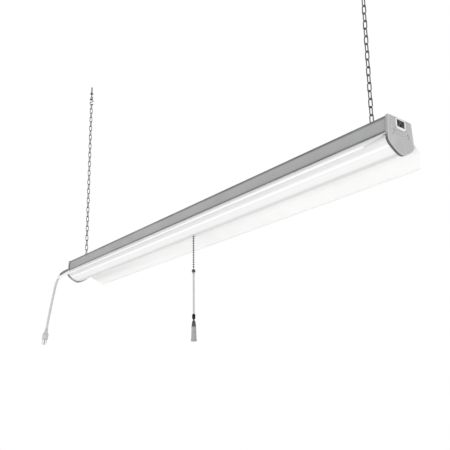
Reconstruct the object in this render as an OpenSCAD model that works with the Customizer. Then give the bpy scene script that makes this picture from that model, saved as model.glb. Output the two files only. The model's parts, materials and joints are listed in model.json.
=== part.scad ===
// Hanging shop light: a folded steel channel on two link chains, with a white
// reflector wing on each side, a V-shaped frosted lens below, moulded end caps,
// a pull-chain switch, a linking outlet and a short mains lead.
// Millimetres. X runs along the light, Y across it, Z up. The origin is on the
// ceiling, midway between the two ceiling hooks.

/* [Body] */
// Overall length over the end caps
body_l = 1190; // [1150:10:1230]
// Half width of the channel across its top
chan_hw = 29.2; // [28.8:0.1:29.4]
// Height of the channel's sides
chan_h = 29; // [28.8:0.1:29]
// Sheet thickness of the channel
sheet = 0.8; // [0.6:0.1:0.8]

/* [Reflectors] */
// Half width over the two reflector wings
wing_hw = 75; // [66:1:82]
// Depth of the wings' lower edges below the channel's top
wing_drop = 63.5; // [58:0.5:66]
// How far the wings stop short of the end caps' faces
wing_inset = 17.8; // [17.4:0.2:24]

/* [Lamps] */
// LEDs on each board
led_n = 28; // [12:2:36]

/* [Hanging] */
// Distance of each hanger hook from the end of the light
hook_in = 55; // [45:5:90]
// Links in each chain, an odd number
links_n = 33; // [15:2:61]
// Height that one link adds to the chain
link_pitch = 15; // [13:0.5:18]

/* [Pull chain] */
// Distance of the pull chain from mid-length, towards the outlet end
pull_x = 18; // [0:1:18]
// Number of beads on the hanging stretch
bead_n = 14; // [8:1:18]
// Length of the cord below the connector
cord_drop = 91; // [60:1:140]

/* [Hidden] */
$fn = 32;
hl = body_l / 2;
hx = hl - hook_in;                 // hook positions, plus and minus
p1 = -22;                          // wire centre of the ceiling hooks' bottoms
p2 = p1 - 17;                      // bottom wire of the top S-hooks
p3 = p2 - link_pitch * links_n + 2.75;   // top wire of the lower S-hooks
p4 = p3 - 16.5;                    // middle of the hanging bar in the channel's top
zt = p4 + sheet / 2;               // top of the channel
link_l = link_pitch + 2.25;        // centreline length of a link
steel = [0.66, 0.66, 0.68];
white = [0.95, 0.95, 0.95];
grey = [0.62, 0.63, 0.65];
dark = [0.22, 0.22, 0.23];
vt = atan2(12.25, 20.3);           // slope of the gear tray's faces

function mir(p) = [for (i = [len(p) - 1:-1:0]) [-p[i][0], p[i][1]]];
function both(p) = concat(p, mir(p));
module along(pts, x0, x1) translate([x0, 0, 0]) rotate([90, 0, 90]) linear_extrude(x1 - x0) polygon(pts);

// ---------- hooks and chains ----------
module ring_arc(r, w, a0, a1) rotate([90, 0, 0]) rotate([0, 0, a0]) rotate_extrude(angle = a1 - a0) translate([r, 0]) circle(r = w, $fn = 20);
module ceiling_hook() {
  // screw shank that goes up into the ceiling, collar, stem and open hook
  cylinder(r = 2, h = 20);
  translate([0, 0, 20]) cylinder(r1 = 2, r2 = 0.4, h = 4);
  translate([0, 0, -1.2]) cylinder(r = 5, h = 1.2);
  translate([0, 0, -10]) cylinder(r = 1.5, h = 8.8);
  translate([0, 0, -16]) ring_arc(6, 1.5, 90, 375);
}
module s_hook(z) translate([0, 0, z]) rotate([0, 0, 90]) {
  // two 270 degree loops that meet in the middle
  translate([0, 0, -5]) ring_arc(5, 1.25, -90, 180);
  translate([0, 0, -15]) ring_arc(5, 1.25, 90, 360);
}
module link() {
  s = link_l / 2 - 3.5;
  translate([0, 0, s]) rotate([90, 0, 0]) rotate_extrude(angle = 180) translate([3.5, 0]) circle(r = 1, $fn = 16);
  translate([0, 0, -s]) rotate([-90, 0, 0]) rotate_extrude(angle = 180) translate([3.5, 0]) circle(r = 1, $fn = 16);
  for (k = [-1, 1]) translate([3.5 * k, 0, -s]) cylinder(r = 1, h = 2 * s, $fn = 16);
}
module chain() color("lightgrey") for (i = [0:links_n - 1])
  translate([0, 0, p2 + 2.5 - link_l / 2 - i * link_pitch]) rotate([0, 0, 90 * (i % 2)]) link();
module ceiling_hook_far() color("lightgrey") translate([-hx, 0, 0]) ceiling_hook();
module ceiling_hook_near() color("lightgrey") translate([hx, 0, 0]) ceiling_hook();
module top_s_hooks() color("lightgrey") for (k = [-1, 1]) translate([k * hx, 0, 0]) s_hook(p1 + 3);
module chain_far() translate([-hx, 0, 0]) chain();
module chain_near() translate([hx, 0, 0]) chain();
module lower_s_hooks() color("lightgrey") for (k = [-1, 1]) translate([k * hx, 0, 0]) s_hook(p3);

// ---------- housing ----------
bracket_y = 25.4;
screw_xs = [for (i = [-2:2]) i * (hl - 75) / 2.0];
module seam_holes(r) for (x = screw_xs, k = [-1, 1]) translate([x + 22, k * bracket_y, zt - 36]) cylinder(r = r, h = 10);
module housing_channel() color(steel) difference() {
  translate([0, 0, zt]) along(both([[0, 0], [chan_hw, 0], [chan_hw + 2, -chan_h], [23, -chan_h], [23, -chan_h + sheet],
    [chan_hw + 2 - sheet * 1.06, -chan_h + sheet], [chan_hw - sheet, -sheet], [0.001, -sheet]]), -(hl - 2.4), hl - 2.4);
  for (k = [-1, 1], j = [-1, 1]) translate([k * hx - 2.5, j > 0 ? 2 : -8.5, zt - 2]) cube([5, 6.5, 4]);
  seam_holes(1.75);
}
wing_t = 0.6;
wing_pts = [[23, -29.1], [31.6, -29.1], [wing_hw, 3.2 - wing_drop], [wing_hw, -wing_drop], [wing_hw - wing_t, -wing_drop],
  [wing_hw - wing_t, 2.9 - wing_drop], [31.4, -29.1 - wing_t], [23, -29.1 - wing_t]];
// plan of the wings: inside the caps' rims, then out to the ends, with the outer corners trimmed
wing_x = hl - wing_inset;
wing_plan = [[hl - 5.4, 20], [hl - 5.4, 36], [hl - 2, 36.5], [hl - 2, 53], [wing_x, wing_hw - 0.5], [wing_x, wing_hw + 5]];
module reflector_rear() color(white) difference() {
  translate([0, 0, zt]) along(wing_pts, -(hl - 2), hl - 2);
  for (m = [0, 1]) mirror([m, 0, 0]) translate([0, 0, zt - 80]) linear_extrude(60)
    polygon(concat(wing_plan, [[hl + 20, wing_hw + 5], [hl + 20, 20]]));
  seam_holes(1.75);
}
module reflector_front() color(white) mirror([0, 1, 0]) reflector_rear();
module gear_tray() color("gainsboro") difference() {
  translate([0, 0, zt]) along(both([[0, -41.8], [20, -29.75], [28.4, -29.75], [28.4, -30.75], [20.3, -30.75], [0.001, -43]]), -(hl - 8), hl - 8);
  seam_holes(1.75);
  translate([pull_x, 0, zt - 60]) cylinder(r = 4.2, h = 30);
}
// ---------- lamps ----------
module on_face(k) translate([0, k * 10.15, zt - 36.875]) rotate([k * vt, 0, 0]) children();
module led_board(k) color("ivory") on_face(k) for (j = [-1, 1])
  translate([j > 0 ? 26 : -(hl - 26), -5.5, -1.65]) cube([hl - 52, 11, 1.6]);
led_gap = (hl - 92) / (led_n / 2 - 1);
module led_chips(k) color("khaki") on_face(k) for (j = [-1, 1], i = [0:led_n / 2 - 1])
  translate([j * (46 + i * led_gap) - 2.5, -2.5, -2.55]) cube([5, 5, 0.9]);
module led_board_front() led_board(-1);
module led_board_rear() led_board(1);
module led_chips_front() led_chips(-1);
module led_chips_rear() led_chips(1);
// outer half profile of the lens, hand-chosen points down a soft V
lens_o = [[29.5, -30.85], [30.9, -33], [31.2, -37], [30.4, -41], [28, -45], [24.2, -48.6], [19.2, -52], [13.5, -55.2], [7, -57.9], [3, -58.8], [0, -59]];
lens_i = [[1, -57.5], [3, -57.3], [6.6, -56.5], [12.8, -53.9], [18.4, -50.7], [23.2, -47.4], [26.7, -44.1], [28.9, -40.5], [29.6, -37], [29.3, -33.4], [28.9, -32.35], [27.4, -32.35], [27.4, -30.85]];
module lens() color([0.97, 0.97, 0.95]) difference() {
  translate([0, 0, zt]) along(concat(lens_o, [for (i = [len(lens_o) - 2:-1:0]) [-lens_o[i][0], lens_o[i][1]]], mir(lens_i), lens_i), -(hl - 3), hl - 3);
  translate([pull_x, 0, zt - 66]) cylinder(r = 4.6, h = 12);
}
module lens_grommet() color(white) translate([pull_x, 0, zt]) difference() {
  union() {
    translate([0, 0, -60.6]) cylinder(r = 6.4, h = 1.6);
    translate([0, 0, -60.6]) cylinder(r = 4.5, h = 4.4);
  }
  translate([0, 0, -62]) cylinder(r = 3.2, h = 8);
}
// ---------- end caps ----------
cap_o = [[0, 1.4], [30.2, 1.4], [31.0, 0.6], [34.5, -39.5], [34.2, -42], [32.6, -45], [28.6, -49.4], [21.8, -54], [13.2, -58.6], [6, -61.6], [2.5, -62.4], [0, -62.5]];
cap_i = [[0, 0.2], [29.6, 0.2], [32.7, -38.6], [31.4, -43], [27.2, -47.8], [20.8, -52.4], [12.4, -56.9], [5.6, -60], [0, -61]];
cap_rim = 5;                       // depth of the caps over the body
module cap_shell() {
  // rim and face, with the face outwards at +X
  along(both(cap_o), hl - 1.6, hl);
  difference() {
    along(both(cap_o), hl - cap_rim, hl - 1.6);
    along(both(cap_i), hl - 18, hl - 1);
  }
  // raised half-round step round the outlet's bezel
  intersection() {
    difference() {
      translate([hl, 0, -5]) rotate([0, 90, 0]) cylinder(r = 23.5, h = 0.9);
      translate([hl - 1, -13.2, -19.6]) cube([6, 26.4, 30]);
    }
    translate([hl - 1, -25, -31]) cube([6, 50, 25.5]);
  }
}
screw_y = 20;
screw_z = -25.5;
module cap_holes() for (k = [-1, 1]) translate([hl - 5, screw_y * k, screw_z]) rotate([0, 90, 0]) cylinder(r = 1.75, h = 12);
module end_cap_near() color(grey) translate([0, 0, zt]) difference() {
  cap_shell();
  cap_holes();
  translate([hl - 4, -10.1, -15.1]) cube([8, 20.2, 12.2]);
}
module end_cap_far() color(grey) translate([0, 0, zt]) mirror([1, 0, 0]) difference() {
  cap_shell();
  cap_holes();
  translate([hl - 5, 0, -9.5]) rotate([0, 90, 0]) cylinder(r = 6.05, h = 12);
}
module bracket() difference() {
  union() {
    translate([hl - 5, -22.8, -29.4]) cube([1.4, 45.6, 10.9]);
    for (k = [-1, 1]) translate([hl - 5, k > 0 ? 14.8 : -22.8, -18.5]) cube([1.4, 8, 17.65]);
    for (k = [-1, 1]) translate([hl - 22, k > 0 ? 14.8 : -22.8, -2.25]) cube([17, 8, 1.4]);
  }
  for (k = [-1, 1]) translate([hl - 8, screw_y * k, screw_z]) rotate([0, 90, 0]) cylinder(r = 1.6, h = 8);
}
module cap_brackets() color("lightgrey") translate([0, 0, zt]) { bracket(); mirror([1, 0, 0]) bracket(); }
module cap_screw() {
  translate([hl - 9, 0, 0]) rotate([0, 90, 0]) cylinder(r = 1.55, h = 9);
  difference() {
    translate([hl, 0, 0]) rotate([0, 90, 0]) cylinder(r1 = 3.3, r2 = 2.4, h = 1.6);
    for (a = [0, 90]) translate([hl + 0.8, 0, 0]) rotate([a, 0, 0]) translate([0, -1.7, -0.35]) cube([2, 3.4, 0.7]);
  }
}
module cap_screws() color("silver") for (m = [0, 1]) mirror([m, 0, 0]) for (k = [-1, 1]) translate([0, screw_y * k, zt + screw_z]) cap_screw();
module seam_screws() color("silver") for (x = screw_xs, k = [-1, 1]) translate([x + 22, k * bracket_y, zt]) {
  translate([0, 0, -30.75]) cylinder(r = 1.6, h = 5);
  translate([0, 0, -32.15]) cylinder(r1 = 1.4, r2 = 1.95, h = 1.4);
}
// ---------- driver, switch and wiring inside the channel ----------
module driver_case() color("white") translate([-250, 0, zt]) difference() {
  translate([0, -19, -24]) cube([180, 38, 23.2]);
  translate([1, -18, -25]) cube([178, 36, 23]);
  for (y = [-5, 0, 5]) translate([-1, y, -12]) rotate([0, 90, 0]) cylinder(r = 1.3, h = 182);
}
module driver_lid() color("white") translate([-250, -19, zt - 25]) cube([180, 38, 1]);
module driver_board() color("darkgreen") translate([-250, 0, zt]) {
  translate([4, -17, -20]) cube([172, 34, 1.6]);
  translate([20, -9, -18.4]) cube([24, 18, 11]);
  for (x = [62, 84]) translate([x, 0, -18.4]) cylinder(r = 7, h = 12);
  translate([104, -8, -18.4]) cube([14, 16, 9]);
  translate([132, -11, -18.4]) cube([22, 20, 5]);
}
module switch_body() color("dimgrey") translate([pull_x, 0, zt]) difference() {
  union() {
    translate([-13, -9, -33]) cube([26, 18, 18]);
    translate([0, 0, -50]) cylinder(r = 4, h = 17.5);
  }
  translate([0, 0, -52]) cylinder(r = 2.3, h = 33);
}
module switch_nut() color("silver") translate([pull_x, 0, zt - 46]) difference() {
  cylinder(r = 7, h = 2.9, $fn = 6);
  translate([0, 0, -1]) cylinder(r = 4.03, h = 5);
}
module link_outlet() color(dark) translate([0, 0, zt]) difference() {
  union() {
    translate([hl - 24, -10, -15]) cube([25, 20, 12]);
    translate([hl - 4.9, -12, -16.6]) cube([3.2, 24, 15.4]);
  }
  for (y = [-5.2, 5.2]) translate([hl - 16, y - 0.9, -10.4]) cube([20, 1.8, 6.2]);
  translate([hl - 16, 0, -12]) rotate([0, 90, 0]) cylinder(r = 1.9, h = 20);
}
module outlet_bezel() color("white") translate([hl, 0, zt]) rotate([90, 0, 90]) linear_extrude(1.7) difference() {
  polygon([[-13, -4], [-10.5, -1], [10.5, -1], [13, -4], [13, -15.5], [9.5, -19.4], [-9.5, -19.4], [-13, -15.5]]);
  translate([-10.4, -15.4]) square([20.8, 12.8]);
}
module outlet_contacts() color("goldenrod") translate([0, 0, zt]) {
  for (y = [-5.2, 5.2]) translate([hl - 16, y - 0.6, -9.6]) cube([11, 1.2, 4.6]);
  translate([hl - 16, 0, -12]) rotate([0, 90, 0]) cylinder(r = 1.5, h = 11);
}
module wire_run(x0, x1) for (y = [-5, 0, 5]) translate([x0, y, zt - 12]) rotate([0, 90, 0]) cylinder(r = 1.1, h = x1 - x0, $fn = 16);
module supply_wires() color("black") { wire_run(-(hl - 6), -420); wire_run(-400, -252 + 6); }
module wire_connectors() color("orange") for (y = [-5, 0, 5]) translate([-420, y, zt - 12]) rotate([0, 90, 0]) cylinder(r1 = 2.2, r2 = 2.45, h = 20);
module link_wires() color("black") wire_run(-74, hl - 24);
module earth_stud() color("goldenrod") translate([-340, 0, zt]) {
  translate([0, -15, -9]) cylinder(r = 2, h = 8.2);
  translate([0, -15, -6]) cylinder(r = 4, h = 2.4, $fn = 6);
}
// ---------- mains lead ----------
relief_l = 36;
module strain_relief() color(grey) translate([-hl, 0, zt - 9.5]) rotate([0, -90, 0]) {
  translate([0, 0, -6]) cylinder(r = 6, h = 6);
  cylinder(r = 7.6, h = 2.2);
  difference() {
    translate([0, 0, 2.2]) cylinder(r1 = 6.2, r2 = 4.6, h = relief_l - 2.2);
    for (i = [0:4]) translate([0, 0, 8 + i * 5.6]) difference() {
      cylinder(r = 8, h = 1.8);
      translate([0, 0, -1]) cylinder(r = 4.2, h = 4);
    }
  }
}
cord_r = 3.8;
// the lead's route: straight out, over and down, leaning outwards; the light's end is at x = -595 and its top at z = 0 here
route = [[-631, 0, -9.5], [-650, 0, -9.5], [-670, 0, -9.5], [-690, 0, -9.8], [-706, 0, -11], [-719, -1, -14], [-730, -2, -20],
  [-738, -4, -29], [-743, -6, -41], [-746, -8, -55], [-748, -10, -72], [-750, -13, -92], [-752, -16, -114], [-754, -19, -138],
  [-756, -22, -162], [-757, -25, -187]];
function unit(v) = v / norm(v);
function tangent(p, i) = unit(i == 0 ? p[1] - p[0] : i == len(p) - 1 ? p[i] - p[i - 1] : p[i + 1] - p[i - 1]);
module tube(p, r, n) {
  s = [for (i = [0:len(p) - 1]) let (t = tangent(p, i), a = unit(cross(t, [0, 1, 0])), b = cross(t, a))
    for (k = [0:n - 1]) p[i] + r * (cos(360 * k / n) * a + sin(360 * k / n) * b)];
  m = len(p);
  f = concat([[for (k = [0:n - 1]) k]], [[for (k = [n - 1:-1:0]) (m - 1) * n + k]],
    [for (i = [0:m - 2], k = [0:n - 1]) [i * n + (k + 1) % n, i * n + k, (i + 1) * n + k]],
    [for (i = [0:m - 2], k = [0:n - 1]) [(i + 1) * n + (k + 1) % n, i * n + (k + 1) % n, (i + 1) * n + k]]);
  polyhedron(s, f);
}
module power_cord() color("whitesmoke") translate([0, 0, zt]) tube(route, cord_r, 10);
// heat-shrunk sleeve over the lead's first stretch, up to the bend
sleeve_route = [for (i = [1:5]) route[i]];
module cord_sleeve() color(dark) translate([0, 0, zt]) difference() {
  tube(sleeve_route, 5.1, 12);
  tube(concat([sleeve_route[0] + [4, 0, 0]], sleeve_route, [sleeve_route[4] + 5 * unit(sleeve_route[4] - sleeve_route[3])]), 4.3, 12);
}
last = len(route) - 1;
plug_dir = unit(route[last] - route[last - 1]);
module at_plug() translate([0, 0, zt]) translate(route[last]) rotate([0, acos(plug_dir[2]), atan2(plug_dir[1], plug_dir[0])]) children();
module plug_body() color("whitesmoke") at_plug() rotate([0, 0, plug_turn]) {
  rotate([0, 0, 0]) cylinder(r1 = 4.4, r2 = 5.6, h = 14);
  translate([0, 0, 14]) linear_extrude(4, scale = [1.36, 1.22]) square([13, 11], center = true);
  translate([-8.85, -6.7, 18]) cube([17.7, 13.4, 17]);
  translate([0, 0, 18]) cylinder(r = 9.4, h = 15);
}
plug_turn = 0;
module plug_blades() color("gold") at_plug() rotate([0, 0, plug_turn]) {
  for (k = [-1, 1]) translate([k * 6.35 - 0.75, -3.6, 35]) cube([1.5, 6.2, 16]);
  translate([0, 4.1, 35]) cylinder(r = 2.3, h = 18);
}
// ---------- pull chain ----------
pz = zt - 58.5;                    // where the chain swings, inside the grommet
bead_p = 5.6;                      // spacing of the beads
cz = pz - bead_n * bead_p - 12;       // where the cord swings, under the connector
module pull_stem() color("silver") translate([pull_x, 0, 0]) {
  translate([0, 0, pz + 1.3]) cylinder(r = 0.7, h = 35.2);
  translate([0, 0, pz + 36.5]) cylinder(r = 1.9, h = 2);
  for (i = [0:2]) translate([0, 0, pz + 3.4 + i * bead_p]) sphere(r = 1.9, $fn = 20);
}
module pull_chain() color("silver") translate([pull_x, 0, 0]) {
  translate([0, 0, pz - bead_n * bead_p - 1.5]) cylinder(r = 0.6, h = bead_n * bead_p + 2.1, $fn = 16);
  for (i = [0:bead_n - 1]) translate([0, 0, pz - 1.7 - i * bead_p]) sphere(r = 2.2, $fn = 20);
}
module chain_connector() color("dimgrey") translate([pull_x, 0, 0]) {
  translate([0, 0, pz - bead_n * bead_p - 4]) cylinder(r1 = 4.2, r2 = 2.2, h = 2.5);
  translate([0, 0, pz - bead_n * bead_p - 8.7]) cylinder(r = 4.2, h = 4.7);
}
module pull_knot() color("gainsboro") translate([pull_x, 0, cz]) difference() {
  sphere(r = 3, $fn = 24);
  translate([-4, -4, -7]) cube([8, 8, 5]);
}
module pull_cord() color("gainsboro") translate([pull_x, 0, cz - 2 - cord_drop]) cylinder(r = 2.3, h = cord_drop, $fn = 16);
hz = cz - 2 - cord_drop;
module pull_bead() color("black") translate([pull_x, 0, hz - 12]) {
  cylinder(r1 = 2.9, r2 = 3.8, h = 3.5);
  translate([0, 0, 3.5]) cylinder(r = 3.8, h = 5);
  translate([0, 0, 8.5]) cylinder(r1 = 3.8, r2 = 2.7, h = 3.5);
}
module handle_collar() color(dark) translate([pull_x, 0, hz - 29]) {
  cylinder(r1 = 5.2, r2 = 4.2, h = 9);
  translate([0, 0, 9]) cylinder(r1 = 4.2, r2 = 3.2, h = 4);
  translate([0, 0, 13]) cylinder(r = 2, h = 4);
}
module pull_handle() color(grey) translate([pull_x, 0, hz - 61.5]) rotate_extrude(convexity = 4)
  polygon([[0, 32.5], [5, 32.5], [5.4, 32], [6.1, 8], [6.4, 4], [7.1, 1.6], [7.2, 0.5], [6.8, 0], [5.4, 0], [4.8, 4], [4.4, 22], [0, 23]]);

ceiling_hook_far();
ceiling_hook_near();
top_s_hooks();
chain_far();
chain_near();
lower_s_hooks();
housing_channel();
reflector_front();
reflector_rear();
gear_tray();
led_board_front();
led_board_rear();
led_chips_front();
led_chips_rear();
lens();
lens_grommet();
end_cap_far();
end_cap_near();
cap_brackets();
cap_screws();
seam_screws();
driver_case();
driver_lid();
driver_board();
switch_body();
switch_nut();
link_outlet();
outlet_bezel();
outlet_contacts();
supply_wires();
wire_connectors();
link_wires();
earth_stud();
strain_relief();
cord_sleeve();
power_cord();
plug_body();
plug_blades();
pull_stem();
pull_chain();
chain_connector();
pull_knot();
pull_cord();
pull_bead();
handle_collar();
pull_handle();
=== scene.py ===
"""Looks of the hanging shop light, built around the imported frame. Metres, the CAD's own axes."""
import json
import math

import bmesh
import bpy
from mathutils import Matrix, Vector


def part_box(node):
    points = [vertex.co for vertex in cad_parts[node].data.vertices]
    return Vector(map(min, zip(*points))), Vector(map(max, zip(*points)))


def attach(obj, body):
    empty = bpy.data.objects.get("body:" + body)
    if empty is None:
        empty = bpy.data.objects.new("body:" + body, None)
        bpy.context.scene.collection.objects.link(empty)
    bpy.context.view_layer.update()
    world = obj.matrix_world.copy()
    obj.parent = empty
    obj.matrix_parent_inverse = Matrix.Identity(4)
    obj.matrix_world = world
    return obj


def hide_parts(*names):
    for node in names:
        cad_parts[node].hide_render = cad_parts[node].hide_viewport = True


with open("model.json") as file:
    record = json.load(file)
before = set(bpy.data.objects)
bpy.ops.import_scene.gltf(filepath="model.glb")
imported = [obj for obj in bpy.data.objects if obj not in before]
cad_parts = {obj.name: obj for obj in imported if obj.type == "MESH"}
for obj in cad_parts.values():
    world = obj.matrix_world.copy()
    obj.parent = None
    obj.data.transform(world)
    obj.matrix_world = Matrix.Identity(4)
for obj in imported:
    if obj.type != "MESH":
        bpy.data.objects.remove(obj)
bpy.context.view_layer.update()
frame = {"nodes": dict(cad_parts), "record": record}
nodes = frame["nodes"]
scene = bpy.context.scene
MM = 0.001


# ------------------------------------------------------------------ camera
def camera():
    yaw, pitch, roll = 0.6708, 0.2136, -0.0145
    cy, sy, cp, sp, cr, sr = (f(a) for a in (yaw, pitch, roll) for f in (math.cos, math.sin))
    tilt = Matrix(((cr, -sr, 0), (sr, cr, 0), (0, 0, 1))) @ Matrix(((1, 0, 0), (0, cp, sp), (0, -sp, cp)))
    along, across, down = (tilt @ Vector(v) for v in ((-sy, 0, cy), (cy, 0, sy), (0, 1, 0)))
    axes = [Vector((-along[i], across[i], -down[i])) for i in range(3)]      # right, down, forward
    data = bpy.data.cameras.new("camera")
    data.sensor_width, data.sensor_fit = 36, "HORIZONTAL"
    data.lens = 622.13 / 450 * 36
    data.shift_y = 55 / 450
    data.clip_start, data.clip_end = 0.01, 100
    data.dof.use_dof = False
    obj = bpy.data.objects.new("camera", data)
    scene.collection.objects.link(obj)
    m = Matrix.Identity(4)
    for r in range(3):
        m[r][0], m[r][1], m[r][2] = axes[0][r], -axes[1][r], -axes[2][r]
    m.translation = Vector((1.1471, -0.8048, -1.0125))
    obj.matrix_world = m
    scene.camera = obj


camera()

# the mains lead's route and the light's top, the same numbers as the CAD's
TOP = -0.54735
ROUTE = [(-631, 0, -9.5), (-650, 0, -9.5), (-670, 0, -9.5), (-690, 0, -9.8), (-706, 0, -11), (-719, -1, -14), (-730, -2, -20),
         (-738, -4, -29), (-743, -6, -41), (-746, -8, -55), (-748, -10, -72), (-750, -13, -92), (-752, -16, -114), (-754, -19, -138),
         (-756, -22, -162), (-757, -25, -187)]
ROUTE = [Vector((x * MM, y * MM, z * MM + TOP)) for x, y, z in ROUTE]
PULL_X = 0.018


def smooth_path(pts, step=0.003):
    """Catmull-Rom through the points, spaced about a step apart."""
    out = []
    for i in range(len(pts) - 1):
        p1, p2 = pts[i], pts[i + 1]
        p0 = pts[i - 1] if i else p1 * 2 - p2
        p3 = pts[i + 2] if i + 2 < len(pts) else p2 * 2 - p1
        n = max(2, round((p2 - p1).length / step))
        for k in range(n):
            t = k / n
            out.append(0.5 * ((2 * p1) + (p2 - p0) * t + (2 * p0 - 5 * p1 + 4 * p2 - p3) * t * t + (3 * p1 - p0 - 3 * p2 + p3) * t ** 3))
    return out + [pts[-1].copy()]


# ------------------------------------------------------------------ materials
def tree(name):
    m = bpy.data.materials.new(name)
    m.use_nodes = True
    t = m.node_tree
    b = next(n for n in t.nodes if n.type == "BSDF_PRINCIPLED")
    return m, t, b


def noise(t, scale, detail=4.0, rough=0.55, stretch=(1, 1, 1), distortion=0.0):
    co = t.nodes.new("ShaderNodeTexCoord")
    mp = t.nodes.new("ShaderNodeMapping")
    mp.inputs["Scale"].default_value = stretch
    n = t.nodes.new("ShaderNodeTexNoise")
    n.inputs["Scale"].default_value = scale
    n.inputs["Detail"].default_value = detail
    n.inputs["Roughness"].default_value = rough
    n.inputs["Distortion"].default_value = distortion
    t.links.new(co.outputs["Object"], mp.inputs["Vector"])
    t.links.new(mp.outputs["Vector"], n.inputs["Vector"])
    return n.outputs["Fac"]


def remap(t, src, lo, hi, a=0.3, b=0.7):
    n = t.nodes.new("ShaderNodeMapRange")
    n.inputs["From Min"].default_value, n.inputs["From Max"].default_value = a, b
    n.inputs["To Min"].default_value, n.inputs["To Max"].default_value = lo, hi
    t.links.new(src, n.inputs["Value"])
    return n.outputs["Result"]


def blend_colour(t, fac, a, b):
    n = t.nodes.new("ShaderNodeMix")
    n.data_type = "RGBA"
    for sock, val in ((6, a), (7, b)):
        if isinstance(val, bpy.types.NodeSocket):
            t.links.new(val, n.inputs[sock])
        else:
            n.inputs[sock].default_value = (*val, 1)
    t.links.new(fac, n.inputs[0])
    return n.outputs[2]


def bumped(t, b, src, strength, distance, onto=None):
    n = t.nodes.new("ShaderNodeBump")
    n.inputs["Strength"].default_value = strength
    n.inputs["Distance"].default_value = distance
    t.links.new(src, n.inputs["Height"])
    if onto is not None:
        t.links.new(onto, n.inputs["Normal"])
    t.links.new(n.outputs["Normal"], b.inputs["Normal"])
    return n.outputs["Normal"]


def stuff(name, dark, light, rough=(0.4, 0.5), metal=0.0, patch=30, grain=900, bump=0.15, depth=0.0001, spec=0.5, coat=0.0,
          stretch=(1, 1, 1), fleck=None, sub=0.0):
    """A surface with slow colour drift, a fine grain in its bump and a varying gloss."""
    m, t, b = tree(name)
    slow = remap(t, noise(t, patch, 3, 0.6, stretch), 0, 1)
    col = blend_colour(t, slow, dark, light)
    if fleck:
        fine = remap(t, noise(t, grain * 0.5, 2, 0.7), 0, 1, 0.58, 0.72)
        col = blend_colour(t, fine, col, fleck)
    t.links.new(col, b.inputs["Base Color"])
    t.links.new(remap(t, noise(t, patch * 2.3, 4, 0.6, stretch), rough[0], rough[1]), b.inputs["Roughness"])
    b.inputs["Metallic"].default_value = metal
    b.inputs["Specular IOR Level"].default_value = spec
    b.inputs["Coat Weight"].default_value = coat
    b.inputs["Coat Roughness"].default_value = 0.2
    if sub:
        b.inputs["Subsurface Weight"].default_value = sub
        b.inputs["Subsurface Radius"].default_value = (0.004, 0.004, 0.004)
    if bump:
        bumped(t, b, noise(t, grain, 3, 0.6, stretch), bump, depth)
    return m


def grey(v):
    return (v, v, v)


def between(t, src, edges):
    """1 where src lies between the two inner of the four edges, falling to 0 at the outer ones."""
    up = remap(t, src, 0, 1, edges[0], edges[1])
    down = remap(t, src, 1, 0, edges[2], edges[3])
    return maths(t, "MULTIPLY", up, down)


def maths(t, op, a, b=None):
    n = t.nodes.new("ShaderNodeMath")
    n.operation = op
    for i, v in enumerate((a, b)):
        if isinstance(v, bpy.types.NodeSocket):
            t.links.new(v, n.inputs[i])
        elif v is not None:
            n.inputs[i].default_value = v
    return n.outputs[0]


def axes_of(t, which):
    """The X, Y and Z of the object place ("Object") or of the surface direction ("Normal")."""
    co = t.nodes.new("ShaderNodeTexCoord")
    sp = t.nodes.new("ShaderNodeSeparateXYZ")
    t.links.new(co.outputs[which], sp.inputs[0])
    return sp.outputs["X"], sp.outputs["Y"], sp.outputs["Z"]


def recoloured(m, fac, colour):
    """Blends a colour over the base colour of a finished material."""
    t = m.node_tree
    b = next(n for n in t.nodes if n.type == "BSDF_PRINCIPLED")
    old = b.inputs["Base Color"].links[0].from_socket
    t.links.new(blend_colour(t, fac(t), old, colour), b.inputs["Base Color"])
    return m


def housing_paint():
    """Grey powder coat, with painted shade along the sheet's folds and where it runs into the end caps."""
    m = stuff("grey_powder_coat", (0.295, 0.297, 0.302), (0.345, 0.347, 0.352), (0.42, 0.56), 0, 9, 1500, 0.35, 0.00012, 0.45, fleck=grey(0.24))

    def fac(t):
        x, y, z = axes_of(t, "Object")
        _, ny, _ = axes_of(t, "Normal")
        side = remap(t, maths(t, "ABSOLUTE", ny), 0, 1, 0.5, 0.8)
        # painted shade: the side faces are darkened along their top and bottom folds and at the gap into the end caps,
        # broken up by noise
        fold_shade = maths(t, "MAXIMUM", remap(t, z, 0, 1, TOP - 0.0060, TOP - 0.0026), remap(t, z, 1, 0, TOP - 0.0275, TOP - 0.0240))
        cap_gap_shade = remap(t, maths(t, "ABSOLUTE", x), 0, 1, 0.5868, 0.5892)
        shade_mottle = remap(t, noise(t, 60, 3, 0.6, (0.2, 1, 1)), 0.6, 0.95)
        return maths(t, "MULTIPLY", maths(t, "MULTIPLY", maths(t, "MAXIMUM", fold_shade, cap_gap_shade), side), shade_mottle)
    return recoloured(m, fac, grey(0.06))


def cap_plastic():
    """Grey moulding with a painted highlight along its bevelled edge and painted shade on the rim where it laps over
    the body.
    """
    m = stuff("grey_moulding", (0.40, 0.40, 0.41), (0.47, 0.47, 0.475), (0.42, 0.58), 0, 26, 2400, 0.4, 0.00012, 0.5, fleck=grey(0.33))

    # painted shade: the cap's flank faces are darkened, most towards the bottom
    def rim_shade(t):
        x, y, z = axes_of(t, "Object")
        nx, ny, nz = axes_of(t, "Normal")
        flank = remap(t, maths(t, "ABSOLUTE", nx), 1, 0, 0.2, 0.5)
        under = remap(t, z, 1, 0.35, TOP - 0.040, TOP - 0.030)
        return maths(t, "MULTIPLY", flank, under)
    recoloured(m, rim_shade, grey(0.09))

    # painted highlight: the bevelled edge faces are lightened, broken up by noise
    def bevel_highlight(t):
        nx, ny, nz = axes_of(t, "Normal")
        edge = between(t, maths(t, "ABSOLUTE", nx), (0.5, 0.62, 0.93, 0.985))
        return maths(t, "MULTIPLY", edge, remap(t, noise(t, 90, 3, 0.6), 0.7, 1))
    return recoloured(m, bevel_highlight, grey(0.92))


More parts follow.
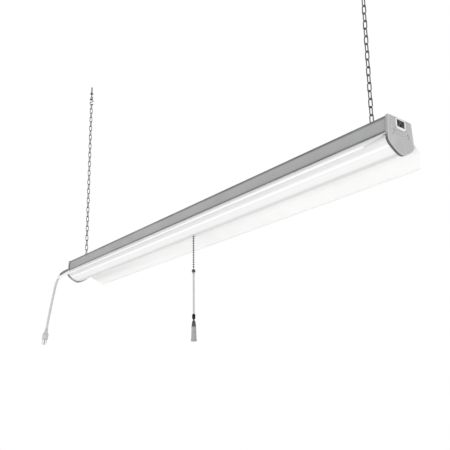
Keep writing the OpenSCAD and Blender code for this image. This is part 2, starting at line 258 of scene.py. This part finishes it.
MATS = {
    "zinc": stuff("zinc_wire", grey(0.04), grey(0.14), (0.3, 0.52), 0.9, 120, 1800, 0.25, fleck=grey(0.22)),
    "zinc_chain": stuff("zinc_chain", grey(0.05), grey(0.17), (0.3, 0.52), 0.9, 150, 1800, 0.25, fleck=grey(0.26)),
    "housing_paint": housing_paint(),
    "reflector_paint": stuff("white_enamel", (0.785, 0.785, 0.78), (0.82, 0.82, 0.815), (0.3, 0.42), 0, 6, 700, 0.12, 0.0001, 0.5, 0.25),
    "tray_metal": stuff("tray_metal", grey(0.62), grey(0.76), (0.3, 0.46), 0.85, 12, 1400, 0.2, stretch=(0.05, 1, 1)),
    "led_board": stuff("board_white", grey(0.78), grey(0.84), (0.45, 0.6), 0, 40, 1500, 0.1),
    "led_chip": stuff("phosphor", (0.82, 0.7, 0.22), (0.9, 0.8, 0.36), (0.25, 0.4), 0, 300, 2600, 0.1, coat=0.3),
    "clear_trim": stuff("grommet_trim", grey(0.66), grey(0.72), (0.3, 0.42), 0, 200, 1500, 0.08),
    "cap_plastic": cap_plastic(),
    "bracket_steel": stuff("bracket_zinc", grey(0.4), grey(0.56), (0.3, 0.45), 0.9, 60, 1500, 0.2),
    "screw_steel": stuff("screw_zinc", grey(0.42), grey(0.6), (0.25, 0.4), 0.95, 300, 3000, 0.2),
    "driver_shell": stuff("driver_paint", grey(0.7), grey(0.78), (0.35, 0.5), 0, 30, 1300, 0.2),
    "circuit_board": stuff("green_board", (0.02, 0.13, 0.05), (0.04, 0.2, 0.09), (0.3, 0.45), 0, 120, 900, 0.3, coat=0.3),
    "switch_plastic": stuff("switch_black", grey(0.02), grey(0.035), (0.4, 0.55), 0, 120, 2200, 0.3),
    "outlet_plastic": stuff("outlet_black", grey(0.008), grey(0.016), (0.3, 0.45), 0, 120, 2200, 0.2),
    "brass_parts": stuff("brass", (0.62, 0.42, 0.16), (0.78, 0.56, 0.26), (0.22, 0.38), 1, 160, 2400, 0.15),
    "wire_insulation": stuff("wire_black", grey(0.018), grey(0.03), (0.35, 0.5), 0, 60, 1800, 0.15),
    "connector_plastic": stuff("connector_orange", (0.72, 0.2, 0.02), (0.82, 0.27, 0.04), (0.35, 0.48), 0, 120, 1800, 0.2),
    "bezel_plastic": stuff("white_bezel", grey(0.8), grey(0.86), (0.25, 0.38), 0, 200, 2400, 0.12, coat=0.2),
    "blade_nickel": stuff("blade_nickel", grey(0.36), grey(0.5), (0.22, 0.36), 1, 200, 2400, 0.15),
    "relief_rubber": stuff("relief_rubber", grey(0.07), grey(0.11), (0.5, 0.66), 0, 150, 2600, 0.35, spec=0.35),
    "sleeve_rubber": stuff("sleeve_rubber", grey(0.11), grey(0.19), (0.5, 0.7), 0, 120, 2200, 0.5, 0.0002, 0.35, fleck=grey(0.2)),
    "cord_jacket": stuff("cord_jacket", grey(0.47), grey(0.56), (0.42, 0.56), 0, 60, 1600, 0.25, spec=0.4),
    "plug_plastic": stuff("plug_moulding", grey(0.45), grey(0.53), (0.4, 0.55), 0, 100, 2400, 0.3),
    "bead_chain": stuff("bead_nickel", grey(0.12), grey(0.26), (0.18, 0.32), 1, 300, 2600, 0.1),
    "connector_metal": stuff("dark_plating", grey(0.06), grey(0.11), (0.3, 0.45), 0.7, 300, 2600, 0.15),
    "bead_plastic": stuff("black_bead", grey(0.002), grey(0.005), (0.3, 0.42), 0, 200, 2000, 0.08, spec=0.15),
    "collar_plastic": stuff("dark_collar", grey(0.035), grey(0.06), (0.35, 0.5), 0, 200, 2400, 0.25),
    "handle_plastic": stuff("grey_handle", grey(0.27), grey(0.33), (0.26, 0.4), 0, 120, 2400, 0.2, coat=0.2),
}


def lens_material():
    """White frosted sheet with fine lengthwise reeds, painted with bands of light and shade across it."""
    m, t, b = tree("frosted_diffuser")
    slow = remap(t, noise(t, 5, 3, 0.55, (0.3, 1, 1)), 0, 1)
    base = blend_colour(t, slow, (0.755, 0.755, 0.75), (0.795, 0.795, 0.79))
    _, across, _ = axes_of(t, "Object")
    off = maths(t, "ABSOLUTE", across)
    streak = remap(t, noise(t, 1, 3, 0.6, (1.5, 210, 0.001)), 0, 0.6, 0.42, 0.66)
    base = blend_colour(t, streak, base, grey(0.73))
    # painted highlight: a light band at the lens's upper bend
    base = blend_colour(t, between(t, off, (0.0215, 0.0225, 0.0235, 0.0247)), base, grey(0.96))
    # painted shade: a dark line at the upper bend, next to the highlight
    base = blend_colour(t, between(t, off, (0.0262, 0.0272, 0.0285, 0.0292)), base, grey(0.72))
    # painted shade along the bottom of the V
    base = blend_colour(t, remap(t, off, 0.85, 0, 0.0035, 0.0085), base, grey(0.60))
    t.links.new(base, b.inputs["Base Color"])
    t.links.new(remap(t, noise(t, 14, 3, 0.5), 0.3, 0.42), b.inputs["Roughness"])
    b.inputs["Specular IOR Level"].default_value = 0.5
    b.inputs["Subsurface Weight"].default_value = 0.25
    b.inputs["Subsurface Radius"].default_value = (0.006, 0.006, 0.006)
    co = t.nodes.new("ShaderNodeTexCoord")
    sp = t.nodes.new("ShaderNodeSeparateXYZ")
    t.links.new(co.outputs["Object"], sp.inputs[0])
    mul = t.nodes.new("ShaderNodeMath")
    mul.operation = "MULTIPLY"
    mul.inputs[1].default_value = 2 * math.pi / 0.0016
    t.links.new(sp.outputs["Y"], mul.inputs[0])
    sn = t.nodes.new("ShaderNodeMath")
    sn.operation = "SINE"
    t.links.new(mul.outputs[0], sn.inputs[0])
    first = bumped(t, b, sn.outputs[0], 0.12, 0.00012)
    bumped(t, b, noise(t, 1600, 2, 0.6), 0.12, 0.0001, first)
    return m


def braid_material():
    """Pale braided cord: two sets of diagonal strands."""
    m, t, b = tree("braided_cord")
    co = t.nodes.new("ShaderNodeTexCoord")
    waves = []
    for k in (1, -1):
        mp = t.nodes.new("ShaderNodeMapping")
        mp.inputs["Rotation"].default_value = (0, 0.7 * k, 0)
        w = t.nodes.new("ShaderNodeTexWave")
        w.inputs["Scale"].default_value = 380
        w.inputs["Distortion"].default_value = 1.2
        t.links.new(co.outputs["Object"], mp.inputs["Vector"])
        t.links.new(mp.outputs["Vector"], w.inputs["Vector"])
        waves.append(w.outputs["Fac"])
    mx = t.nodes.new("ShaderNodeMath")
    mx.operation = "MAXIMUM"
    t.links.new(waves[0], mx.inputs[0])
    t.links.new(waves[1], mx.inputs[1])
    t.links.new(blend_colour(t, mx.outputs[0], grey(0.34), grey(0.55)), b.inputs["Base Color"])
    b.inputs["Roughness"].default_value = 0.8
    b.inputs["Sheen Weight"].default_value = 0.2
    bumped(t, b, mx.outputs[0], 0.5, 0.0003)
    return m


MATS["frosted_lens"] = lens_material()
MATS["pull_cord_fibre"] = braid_material()

slot_of = {s["node"]: s["material_slot"] for s in frame["record"]["subparts"]}
body_of = {n: b for b, ns in frame["record"]["behaviour"]["bodies"].items() for n in ns}
for name, obj in nodes.items():
    mat = MATS[slot_of[name]]
    if not obj.material_slots:
        obj.data.materials.append(mat)
    for s in obj.material_slots:
        s.material = mat


# ------------------------------------------------------------------ pieces
def place(name, mesh, node_or_body, *, slot, replaces=(), smooth=35):
    obj = bpy.data.objects.new(name, mesh)
    scene.collection.objects.link(obj)
    mesh.materials.clear()
    mesh.materials.append(MATS[slot])
    if smooth:
        mesh.shade_smooth()
        mesh.set_sharp_from_angle(angle=math.radians(smooth))
    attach(obj, node_or_body)
    if replaces:
        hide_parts(*replaces)
    return obj


def eased(node, width, segments=2, name=None, angle=28, smooth=38):
    """The CAD node again, with its hard edges rounded."""
    src = nodes[node]
    bm = bmesh.new()
    bm.from_mesh(src.data)
    bmesh.ops.remove_doubles(bm, verts=bm.verts, dist=2e-6)
    bmesh.ops.dissolve_limit(bm, angle_limit=math.radians(0.6), verts=bm.verts, edges=bm.edges)
    bm.normal_update()
    sharp = [e for e in bm.edges if len(e.link_faces) == 2 and e.calc_face_angle(0) > math.radians(angle)]
    bmesh.ops.bevel(bm, geom=sharp, offset=width, offset_type="OFFSET", segments=segments, profile=0.5, affect="EDGES",
                    clamp_overlap=True, loop_slide=True)
    mesh = bpy.data.meshes.new(name or node + "_eased")
    bm.to_mesh(mesh)
    bm.free()
    return place(name or node + "_eased", mesh, body_of[node], slot=slot_of[node], replaces=(node,), smooth=smooth)


def lathe(profile, centre, segs=48):
    """A mesh turned about Z through centre, from (radius, z) pairs; ends on the axis are closed."""
    bm = bmesh.new()
    rings = []
    for r, z in profile:
        if r < 1e-7:
            rings.append([bm.verts.new((centre[0], centre[1], z))])
        else:
            rings.append([bm.verts.new((centre[0] + r * math.cos(2 * math.pi * k / segs), centre[1] + r * math.sin(2 * math.pi * k / segs), z))
                          for k in range(segs)])
    for a, b in zip(rings, rings[1:]):
        for k in range(segs):
            j = (k + 1) % segs
            vs = [a[k % len(a)], a[j % len(a)], b[j % len(b)], b[k % len(b)]]
            uniq = list(dict.fromkeys(vs))
            if len(uniq) > 2:
                bm.faces.new(uniq)
    bmesh.ops.recalc_face_normals(bm, faces=bm.faces)
    return bm


def as_mesh(bm, name):
    mesh = bpy.data.meshes.new(name)
    bm.to_mesh(mesh)
    bm.free()
    return mesh


def catmull2(pts, n):
    out = []
    for i in range(len(pts) - 1):
        p1, p2 = pts[i], pts[i + 1]
        p0 = pts[i - 1] if i else (2 * p1[0] - p2[0], 2 * p1[1] - p2[1])
        p3 = pts[i + 2] if i + 2 < len(pts) else (2 * p2[0] - p1[0], 2 * p2[1] - p1[1])
        for k in range(n):
            t = k / n
            out.append(tuple(0.5 * (2 * p1[d] + (p2[d] - p0[d]) * t + (2 * p0[d] - 5 * p1[d] + 4 * p2[d] - p3[d]) * t * t
                                    + (3 * p1[d] - p0[d] - 3 * p2[d] + p3[d]) * t ** 3) for d in (0, 1)))
    return out + [pts[-1]]


def lens_piece():
    """The diffuser with its soft V drawn as a smooth curve. It keeps the CAD's hole for the pull chain."""
    outer = [(29.5, -31.2), (30.9, -33), (31.2, -37), (30.4, -41), (28, -45), (24.2, -48.6), (19.2, -52), (13.5, -55.2), (7, -57.9), (3, -58.75), (0, -59)]
    inner = [(28.0, -31.2), (29.3, -33.6), (29.6, -37), (28.9, -40.5), (26.7, -44.1), (23.2, -47.4), (18.4, -50.7), (12.8, -53.9), (6.6, -56.4), (3, -57.25), (0, -57.5)]
    o, i = catmull2(outer, 5), catmull2(inner, 5)
    n = len(o)
    ring = o + [(-y, z) for y, z in reversed(o[:-1])] + [(-y, z) for y, z in i] + list(reversed(i[:-1]))
    ring = [(y * MM, z * MM + TOP) for y, z in ring]
    bm = bmesh.new()
    xs = [-0.592 + 1.184 * k / 40 for k in range(41)]
    rows = [[bm.verts.new((x, y, z)) for y, z in ring] for x in xs]
    for a, b in zip(rows, rows[1:]):
        for k in range(len(ring)):
            j = (k + 1) % len(ring)
            bm.faces.new((a[k], a[j], b[j], b[k]))
    half = len(ring) // 2
    for row in (rows[0], rows[-1]):
        m = len(row)
        for k in range(half - 1 if m % 2 == 0 else half):
            quad = [row[k], row[k + 1], row[m - 2 - k], row[m - 1 - k]]
            quad = list(dict.fromkeys(quad))
            if len(quad) > 2:
                try:
                    bm.faces.new(quad)
                except ValueError:
                    pass
    bmesh.ops.recalc_face_normals(bm, faces=bm.faces)
    mesh = as_mesh(bm, "lens_shell")
    cutter = as_mesh(lathe([(0, TOP - 0.066), (0.0046, TOP - 0.066), (0.0046, TOP - 0.054), (0, TOP - 0.054)], (PULL_X, 0), 40), "hole_cut")
    cut = bpy.data.objects.new("hole_cut", cutter)
    scene.collection.objects.link(cut)
    obj = place("lens_shell", mesh, "fixture", slot="frosted_lens", replaces=("lens",), smooth=40)
    mod = obj.modifiers.new("hole", "BOOLEAN")
    mod.object, mod.operation, mod.solver = cut, "DIFFERENCE", "EXACT"
    baked = bpy.data.meshes.new_from_object(obj.evaluated_get(bpy.context.evaluated_depsgraph_get()))
    obj.modifiers.clear()
    obj.data = baked
    bpy.data.objects.remove(cut)
    baked.materials.clear()
    baked.materials.append(MATS["frosted_lens"])
    return obj


def tube_curve(name, pts, radius, slot, body, replaces):
    cu = bpy.data.curves.new(name, "CURVE")
    cu.dimensions = "3D"
    sp = cu.splines.new("POLY")
    sp.points.add(len(pts) - 1)
    for p, q in zip(sp.points, pts):
        p.co = (*q, 1)
    cu.bevel_depth, cu.bevel_resolution, cu.use_fill_caps = radius, 6, True
    sp.use_smooth = True
    obj = bpy.data.objects.new(name, cu)
    scene.collection.objects.link(obj)
    cu.materials.append(MATS[slot])
    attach(obj, body)
    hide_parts(*replaces)
    return obj


def sleeve_piece():
    """Shrunk sleeve over the lead's first stretch: slightly lumpy, with rolled ends."""
    pts = smooth_path([Vector(p) for p in ROUTE[1:6]], 0.0025)
    segs = 32
    bm = bmesh.new()
    rings = []
    n = len(pts)
    for shell in (0, 1):
        order = range(n) if shell == 0 else range(n - 1, -1, -1)
        for i in order:
            t = (pts[min(i + 1, n - 1)] - pts[max(i - 1, 0)]).normalized()
            a = t.cross(Vector((0, 1, 0))).normalized()
            b = t.cross(a)
            u = i / (n - 1)
            lump = 0.00012 * math.sin(u * 21) + 0.0001 * math.sin(u * 47 + 1)
            end = min(u, 1 - u) * (n - 1)
            r = (0.0049 + lump) if shell == 0 else 0.0041
            if shell == 0 and end < 1.5:
                r -= 0.0003
            rings.append([bm.verts.new(pts[i] + r * (math.cos(2 * math.pi * k / segs) * a + math.sin(2 * math.pi * k / segs) * b)) for k in range(segs)])
    for a, b in zip(rings, rings[1:] + rings[:1]):
        for k in range(segs):
            j = (k + 1) % segs
            bm.faces.new((a[k], a[j], b[j], b[k]))
    bmesh.ops.recalc_face_normals(bm, faces=bm.faces)
    return place("lead_sleeve", as_mesh(bm, "lead_sleeve"), "fixture", slot="sleeve_rubber", replaces=("cord_sleeve",))


def rope_piece():
    """The pull cord: three strands laid together, drawn as one twisted tube."""
    lo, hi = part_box("pull_cord")
    x, r = PULL_X, 0.0023
    bm = bmesh.new()
    segs, turns = 36, 8.5
    n = 150
    rings = []
    for i in range(n + 1):
        z = hi[2] + (lo[2] - hi[2]) * i / n
        tw = 2 * math.pi * turns * i / n
        ring = []
        for k in range(segs):
            a = 2 * math.pi * k / segs
            rr = r * (0.93 + 0.07 * abs(math.cos(1.5 * (a - tw))) * 2 - 0.07)
            ring.append(bm.verts.new((x + rr * math.cos(a), rr * math.sin(a), z)))
        rings.append(ring)
    for a, b in zip(rings, rings[1:]):
        for k in range(segs):
            j = (k + 1) % segs
            bm.faces.new((a[k], a[j], b[j], b[k]))
    bm.faces.new(rings[0])
    bm.faces.new(list(reversed(rings[-1])))
    bmesh.ops.recalc_face_normals(bm, faces=bm.faces)
    obj = place("pull_rope", as_mesh(bm, "pull_rope"), "pull_tail", slot="pull_cord_fibre", replaces=("pull_cord",), smooth=60)
    path = [(x, 0, hi[2] + (lo[2] - hi[2]) * k / 10) for k in range(11)]
    return obj, path


def handle_piece():
    """Bell-shaped pull with a rounded shoulder, shallow grip rings and a hollow foot."""
    lo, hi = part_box("pull_handle")
    z0 = lo[2]
    prof = [(0, 32.5), (4.7, 32.5), (5.15, 32.3), (5.35, 31.8)]
    for k in range(28):
        z = 31.2 - k * 0.85
        groove = 0.2 * max(0, math.sin((31.2 - z) * 2 * math.pi / 4.25)) if 10 < z < 29 else 0
        prof.append((5.4 + 0.7 * (32 - z) / 24 - groove, z))
    prof += [(6.12, 7.4), (6.25, 5.6), (6.5, 3.8), (6.85, 2.3), (7.1, 1.4), (7.2, 0.9), (7.12, 0.3), (6.8, 0), (5.7, 0), (5.35, 0.3), (4.85, 4), (4.5, 21.8), (4.0, 22.8), (0, 23)]
    m = as_mesh(lathe([(r * MM, z * MM + z0) for r, z in prof], (PULL_X, 0), 56), "handle_bell")
    return place("handle_bell", m, "pull_tail", slot="handle_plastic", replaces=("pull_handle",))


lens_piece()
sleeve_piece()
lead = tube_curve("mains_lead", smooth_path(ROUTE), 0.0038, "cord_jacket", "fixture", ("power_cord",))
rope, rope_path = rope_piece()
handle_piece()
for n_, w_ in (("outlet_bezel", 0.0005), ("housing_channel", 0.00035), ("reflector_front", 0.0002), ("reflector_rear", 0.0002), ("end_cap_near", 0.0013), ("end_cap_far", 0.0013),
               ("link_outlet", 0.0004), ("plug_body", 0.0012), ("plug_blades", 0.0003), ("strain_relief", 0.0005), ("cap_screws", 0.0002),
               ("chain_connector", 0.0005), ("pull_bead", 0.0006), ("handle_collar", 0.0005), ("lens_grommet", 0.0003), ("driver_case", 0.0004),
               ("driver_lid", 0.0003), ("driver_board", 0.0004), ("switch_body", 0.0006), ("gear_tray", 0.0003), ("wire_connectors", 0.0003)):
    eased(n_, w_)


# ------------------------------------------------------------------ stage
def flat(name, colour, rough=0.9, glow=0.0):
    m, t, b = tree(name)
    b.inputs["Base Color"].default_value = (*colour, 1)
    b.inputs["Roughness"].default_value = rough
    b.inputs["Specular IOR Level"].default_value = 0.1
    if glow:
        b.inputs["Emission Color"].default_value = (1, 1, 1, 1)
        b.inputs["Emission Strength"].default_value = glow
    return m


def stage_plane():
    """A round pale floor, well below the light."""
    me = bpy.data.meshes.new("floor")
    n, r, z = 96, 30, -3.6
    me.from_pydata([(r * math.cos(2 * math.pi * k / n), r * math.sin(2 * math.pi * k / n), z) for k in range(n)], [], [tuple(range(n))])
    o = bpy.data.objects.new("floor", me)
    scene.collection.objects.link(o)
    me.materials.append(flat("pale_floor", (0.88, 0.88, 0.88), 0.9, 0.0))


def area(name, loc, target, size, power, size_y=None):
    d = bpy.data.lights.new(name, "AREA")
    d.energy = power
    d.shape = "RECTANGLE"
    d.size, d.size_y = size, size_y or size
    o = bpy.data.objects.new(name, d)
    o.location = loc
    o.rotation_euler = (Vector(target) - Vector(loc)).to_track_quat("-Z", "Y").to_euler()
    scene.collection.objects.link(o)
    o.visible_camera = False
    return o


stage_plane()
world = bpy.data.worlds.new("studio")
scene.world = world
world.use_nodes = True
bg = world.node_tree.nodes["Background"]
bg.inputs["Color"].default_value = (1, 1, 1, 1)
bg.inputs["Strength"].default_value = 1.0
area("front_fill", (0.4, -2.3, -2.1), (0, 0.05, -0.6), 1.8, 30)
area("end_key", (2.2, 0.9, -1.6), (0.3, 0, -0.6), 0.8, 4)
scene.view_settings.view_transform = "Standard"
scene.view_settings.look = "None"
scene.view_settings.exposure = 0.0
scene.view_settings.gamma = 1.0
